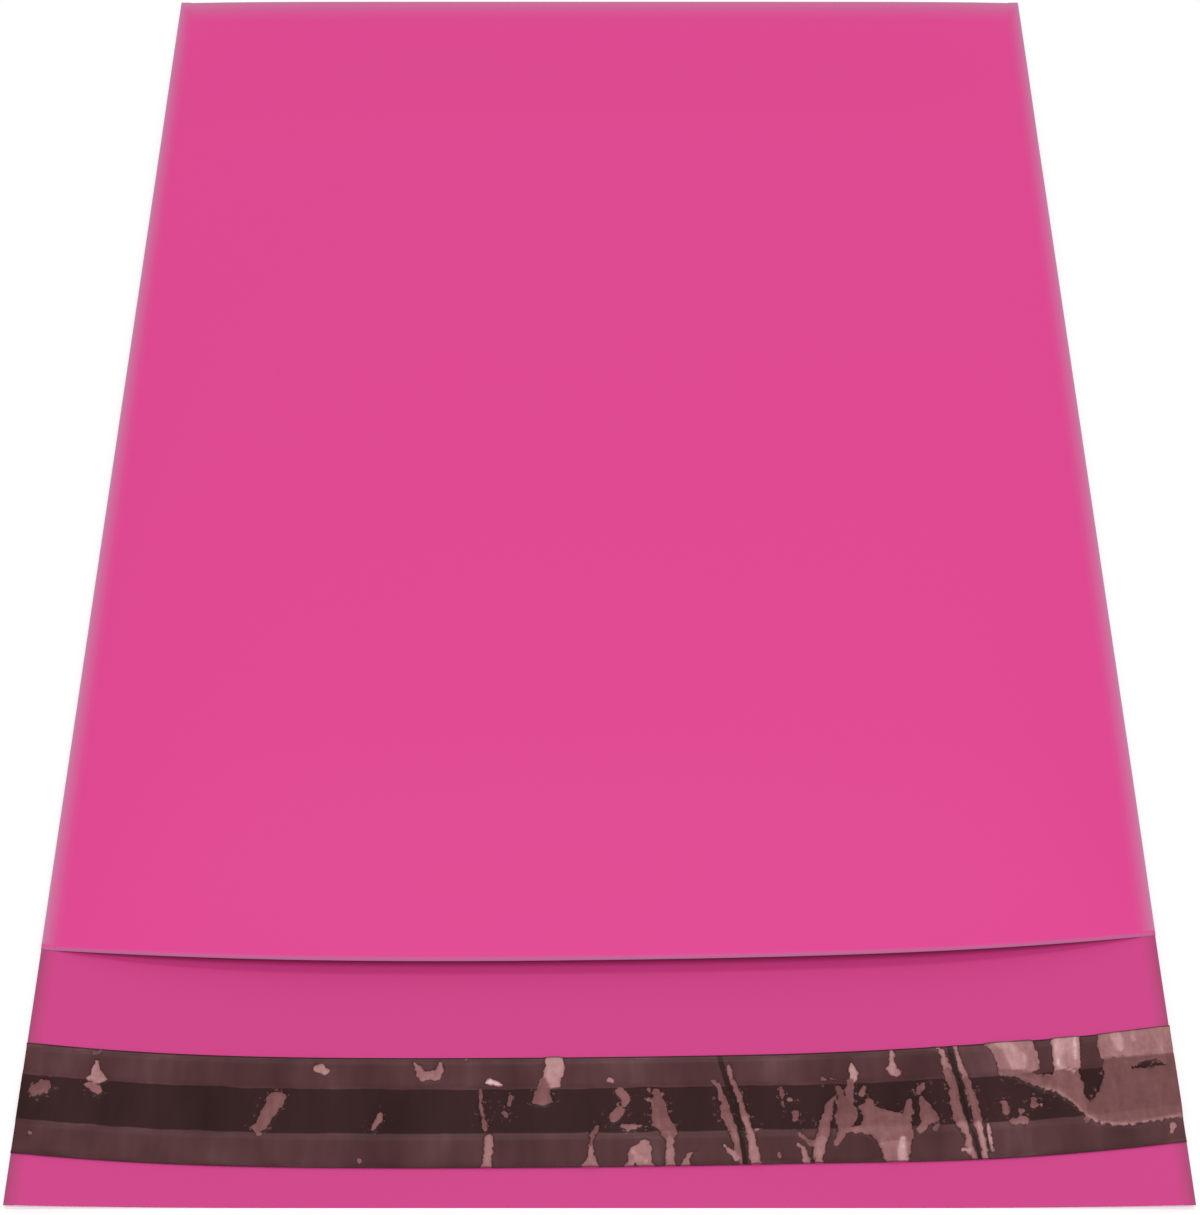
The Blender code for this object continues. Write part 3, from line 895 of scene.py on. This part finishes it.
    (0.84, 0.50, ((114.6, 13.1, 2.0), (115.0, 11.4, 2.4), (115.4, 9.4, 1.4))),
    (0.78, 0.50, ((118.6, 13.1, 1.0), (118.6, 11.0, 0.8))),
    (0.66, 0.40, ((124.8, 13.1, 0.9), (124.6, 8.0, 0.8))),
    (0.72, 0.50, (
        (97.0, 2.0, 0.7), (100.4, 1.2, 0.7), (103.4, -1.4, 0.7), (106.0, -4.6, 0.6), (108.6, -6.6, 0.6),
        (112.0, -7.3, 0.5),
    )),
    (0.62, 0.50, ((112.0, -7.3, 0.5), (116.0, -7.7, 0.6), (121.0, -7.4, 0.5), (127.0, -7.1, 0.7))),
    (0.60, 0.20, ((124.0, -10.4, 0.9), (124.6, -9.3, 1.7))),
)

# Where it still sticks between loose parts, or is pressed down to the film: strokes of points
STUCK_STROKES = (
    ((97.9, 13.1, 3.4), (98.5, 9.8, 2.7), (98.4, 6.6, 2.0), (97.8, 5.0, 0.8)),
    (
        (108.6, 13.1, 2.2), (108.6, 9.4, 2.7), (109.0, 6.2, 4.4), (108.9, 3.0, 4.2), (108.0, 0.6, 3.6),
        (107.5, -0.8, 2.2),
    ),
    ((117.6, 4.6, 0.5), (120.4, 5.0, 1.8), (122.6, 5.2, 2.0), (124.8, 4.4, 0.6)),
    ((64.4, 1.6, 4.0), (64.8, -0.4, 3.2)),
    ((51.6, 1.6, 0.6), (51.2, -2.8, 0.8), (50.8, -6.0, 0.6)),
    ((56.6, -3.0, 1.0), (57.0, -3.0, 1.0)),
    ((68.6, -2.8, 1.2), (69.2, -3.4, 0.8)),
    ((7.8, -13.1, 1.4), (7.8, -12.4, 0.8)),
)

# Sharp creases, darkened by painted shade: strokes of points
CREASE_STROKES = (
    (
        (26.6, 13.1, 1.4), (27.5, 9.0, 1.3), (28.6, 5.0, 1.3), (29.9, 0.0, 1.5), (30.8, -5.0, 1.2),
        (31.5, -13.1, 1.3),
    ),
    (
        (77.8, 13.1, 1.3), (78.8, 7.2, 1.4), (79.8, 0.6, 1.2), (80.8, -5.2, 0.7), (81.6, -8.0, 1.0),
        (82.2, -12.6, 0.9),
    ),
    ((84.0, -3.0, 0.5), (84.0, -6.0, 0.6), (84.4, -11.4, 0.4)),
    ((-26.8, 3.0, 0.4), (-26.0, -2.4, 0.5)),
    ((46.0, -9.4, 0.5), (46.0, -12.8, 0.8)),
)

# How far past its last point a stroke's round end reaches at most, and what stands for far outside
# any stroke, in millimetres
STROKE_CAP = 0.8
FAR_OUTSIDE = -9.0

# Brightness where no stroke is
PLAIN_BRIGHTNESS = 0.4

# Depths inside a stroke, in millimetres, between which its brightness, its height and its hold
# on the liner set in
BRIGHTNESS_SIDE = (-0.3, 0.2)
HEIGHT_SIDE = (-0.7, 0.7)
HOLD_SIDE = (-0.4, 0.4)

# Shares of the liner's height that a stuck part and a crease take away
STUCK_HOLD = 0.8
CREASE_HOLD = 0.6


def stroke_depth(x, y, points):
    """How far each place is inside a stroke, in millimetres, for arrays of places."""
    points = np.array(points)
    upright = np.ptp(points[:, 1]) > np.ptp(points[:, 0])
    along, aside = (y, x) if upright else (x, y)
    key, other = (1, 0) if upright else (0, 1)
    points = points[np.argsort(points[:, key])]
    middle = np.interp(along, points[:, key], points[:, other])
    half = np.interp(along, points[:, key], points[:, 2]) / 2
    past = np.maximum(points[0, key] - along, along - points[-1, key])
    cap = np.minimum(half, STROKE_CAP)
    rounded = half * np.sqrt(np.clip(1 - (np.clip(past, 0, None) / cap) ** 2, 0, 1))
    return np.where(past < cap, rounded, cap - past) - np.abs(aside - middle)


def set_in(depth, limits):
    """Rises evenly from 0 at the first limit to 1 at the second, for an array of depths."""
    low, high = limits
    return np.clip((depth - low) / (high - low), 0, 1)


def liner_fields(x, y):
    """Depth inside the loose parts, their brightness, which is partly painted glare, and height, and the
    creases' depth.
    """
    loose = np.full_like(x, FAR_OUTSIDE)
    crease = np.full_like(x, FAR_OUTSIDE)
    bright = np.full_like(x, PLAIN_BRIGHTNESS)
    height = np.zeros_like(x)
    for brightness, rise, points in LOOSE_AND_GLARE_STROKES:
        depth = stroke_depth(x, y, points)
        loose = np.maximum(loose, depth)
        bright += set_in(depth, BRIGHTNESS_SIDE) * (brightness - bright)
        height = np.maximum(height, rise * set_in(depth, HEIGHT_SIDE) ** 2)
    for points in STUCK_STROKES:
        depth = stroke_depth(x, y, points)
        loose = np.minimum(loose, -depth)
        height *= 1 - STUCK_HOLD * set_in(depth, HOLD_SIDE)
    for points in CREASE_STROKES:
        depth = stroke_depth(x, y, points)
        crease = np.maximum(crease, depth)
        height *= 1 - CREASE_HOLD * set_in(depth, HOLD_SIDE)
    return np.maximum(loose, FAR_OUTSIDE), bright, height, crease


def liner_lift(closure, from_glue, from_side, height):
    """How high the liner lies over the film: over the glue, puckered and curled at its edges."""
    on_glue = 1 - np.clip(from_glue / (closure.glue_step / MM), 0, 1)
    on_glue = on_glue * on_glue * (3 - 2 * on_glue)
    curl = np.clip(1 - from_side / (closure.curl_width / MM), 0, 1) ** 2
    lift = closure.clearance + on_glue * (closure.clearance + closure.glue_thickness)
    return lift + height * MM + closure.edge_curl * curl


class MAILER_OT_release_liner(bpy.types.Operator):
    """Lays the puckered release liner over the glue"""

    bl_idname = "mailer.release_liner"
    bl_label = "Release Liner"

    def execute(self, context):
        closure = context.scene.mailer_closure
        form = MailerForm(context.scene.mailer_film, closure)
        columns = round(2 * HALF_WIDTH / closure.liner_cell)
        rows = round(closure.liner_width / closure.liner_cell)
        across = np.linspace(-1, 1, columns + 1)
        offsets = np.linspace(-0.5, 0.5, rows + 1) * closure.liner_width
        x, y = np.meshgrid(across * HALF_WIDTH / MM, offsets / MM, indexing="ij")
        loose, bright, height, crease = liner_fields(x, y)
        from_glue = np.abs(y - closure.glue_offset / MM) - closure.glue_width / 2 / MM
        from_side = closure.liner_width / 2 / MM - np.abs(y)
        lift = liner_lift(closure, from_glue, from_side, height)

        def place(i, j):
            flare = 1 + closure.liner_flare * smooth((across[i] - closure.flare_start) / closure.flare_run)
            return form.on_flap(across[i], offsets[j] * flare, lift[i, j])

        mesh = grid_mesh("Release liner", columns, rows, place, outward_down=False)
        fields = {"loose_and_glare_mm": loose, "bright": bright, "crease_mm": crease}
        fields |= {"from_glue_mm": from_glue, "from_edge_mm": from_side}
        for name, field in fields.items():
            set_attribute(mesh, name, field.T.ravel())
        mesh.materials.append(liner_material())
        liner = add_piece("puckered_liner", mesh)
        give_thickness(liner, closure.liner_thickness)
        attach(liner, "root")
        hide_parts("release_liner")
        return {"FINISHED"}


class MAILER_OT_stage(bpy.types.Operator):
    """Sets up the floor, the light and the camera"""

    bl_idname = "mailer.stage"
    bl_label = "Stage"

    def execute(self, context):
        stage = context.scene.mailer_stage
        self.add_floor(stage)
        self.add_sky(stage)
        self.add_softbox("Softbox in front", stage.front_size, stage.front_power, stage.front_place)
        self.add_softbox("Softbox overhead", stage.top_size, stage.top_power, stage.top_place)
        self.add_camera(stage)
        context.scene.view_settings.view_transform = "Standard"
        return {"FINISHED"}

    def add_floor(self, stage):
        mesh = bpy.data.meshes.new("Floor")
        disc = bmesh.new()
        bmesh.ops.create_circle(disc, cap_ends=True, segments=64, radius=stage.floor_radius)
        disc.to_mesh(mesh)
        disc.free()
        mesh.materials.append(floor_material())
        add_piece("Floor", mesh)

    def add_sky(self, stage):
        """An even light all round, which the camera sees as white."""
        world = bpy.data.worlds.new("Studio")
        bpy.context.scene.world = world
        world.use_nodes = True
        tree = world.node_tree
        tree.nodes.clear()
        path = add_node(tree, "ShaderNodeLightPath")
        even, seen = (
            add_node(tree, "ShaderNodeBackground", inputs={"Color": (1, 1, 1, 1), "Strength": strength})
            for strength in (stage.sky_strength, 1.0)
        )
        by_ray = {0: path.outputs["Is Camera Ray"], 1: even.outputs[0], 2: seen.outputs[0]}
        mix = add_node(tree, "ShaderNodeMixShader", links=by_ray)
        add_node(tree, "ShaderNodeOutputWorld", links={"Surface": mix.outputs[0]})

    def add_softbox(self, name, size, power, place):
        """An oblong area lamp that points at the bag."""
        lamp = bpy.data.lights.new(name, "AREA")
        lamp.shape = "RECTANGLE"
        lamp.size, lamp.size_y = size
        lamp.energy = power
        softbox = add_piece(name, lamp)
        softbox.location = place
        softbox.rotation_euler = (-softbox.location).to_track_quat("-Z", "Y").to_euler()

    def add_camera(self, stage):
        data = bpy.data.cameras.new("Camera")
        data.sensor_width = 36.0
        data.lens = stage.lens
        data.clip_start, data.clip_end = 0.01, 50.0
        camera = add_piece("Camera", data)
        aim = Vector(stage.aim)
        back = Vector((0.0, -math.cos(stage.elevation), math.sin(stage.elevation)))
        camera.location = aim + back * stage.distance
        camera.rotation_euler = (-back).to_track_quat("-Z", "Y").to_euler()
        bpy.context.scene.camera = camera


class MAILER_PT_panel(bpy.types.Panel):
    """Lists the mailer's sizes, colours and steps"""

    bl_idname = "MAILER_PT_panel"
    bl_label = "Poly Mailer Bag"
    bl_space_type = "VIEW_3D"
    bl_region_type = "UI"
    bl_category = "Mailer"

    def draw(self, context):
        layout = self.layout
        for name in SETTINGS:
            box = layout.box()
            settings = getattr(context.scene, name)
            for key in settings.bl_rna.properties.keys():
                if key not in ("rna_type", "name"):
                    box.prop(settings, key)
        for operator in OPERATORS:
            layout.operator(operator.bl_idname)


OPERATORS = (MAILER_OT_stage, MAILER_OT_film_bag, MAILER_OT_glue_band, MAILER_OT_release_liner)
SETTINGS = {
    "mailer_film": MailerFilmSettings,
    "mailer_closure": MailerClosureSettings,
    "mailer_stage": MailerStageSettings,
}


def register():
    for settings in SETTINGS.values():
        bpy.utils.register_class(settings)
    for operator in OPERATORS:
        bpy.utils.register_class(operator)
    bpy.utils.register_class(MAILER_PT_panel)
    for name, settings in SETTINGS.items():
        setattr(bpy.types.Scene, name, PointerProperty(type=settings))


def unregister():
    for name in SETTINGS:
        delattr(bpy.types.Scene, name)
    bpy.utils.unregister_class(MAILER_PT_panel)
    for operator in reversed(OPERATORS):
        bpy.utils.unregister_class(operator)
    for settings in reversed(SETTINGS.values()):
        bpy.utils.unregister_class(settings)


def main():
    register()
    bpy.ops.mailer.stage()
    bpy.ops.mailer.film_bag()
    bpy.ops.mailer.glue_band()
    bpy.ops.mailer.release_liner()


if __name__ == "__main__":
    main()
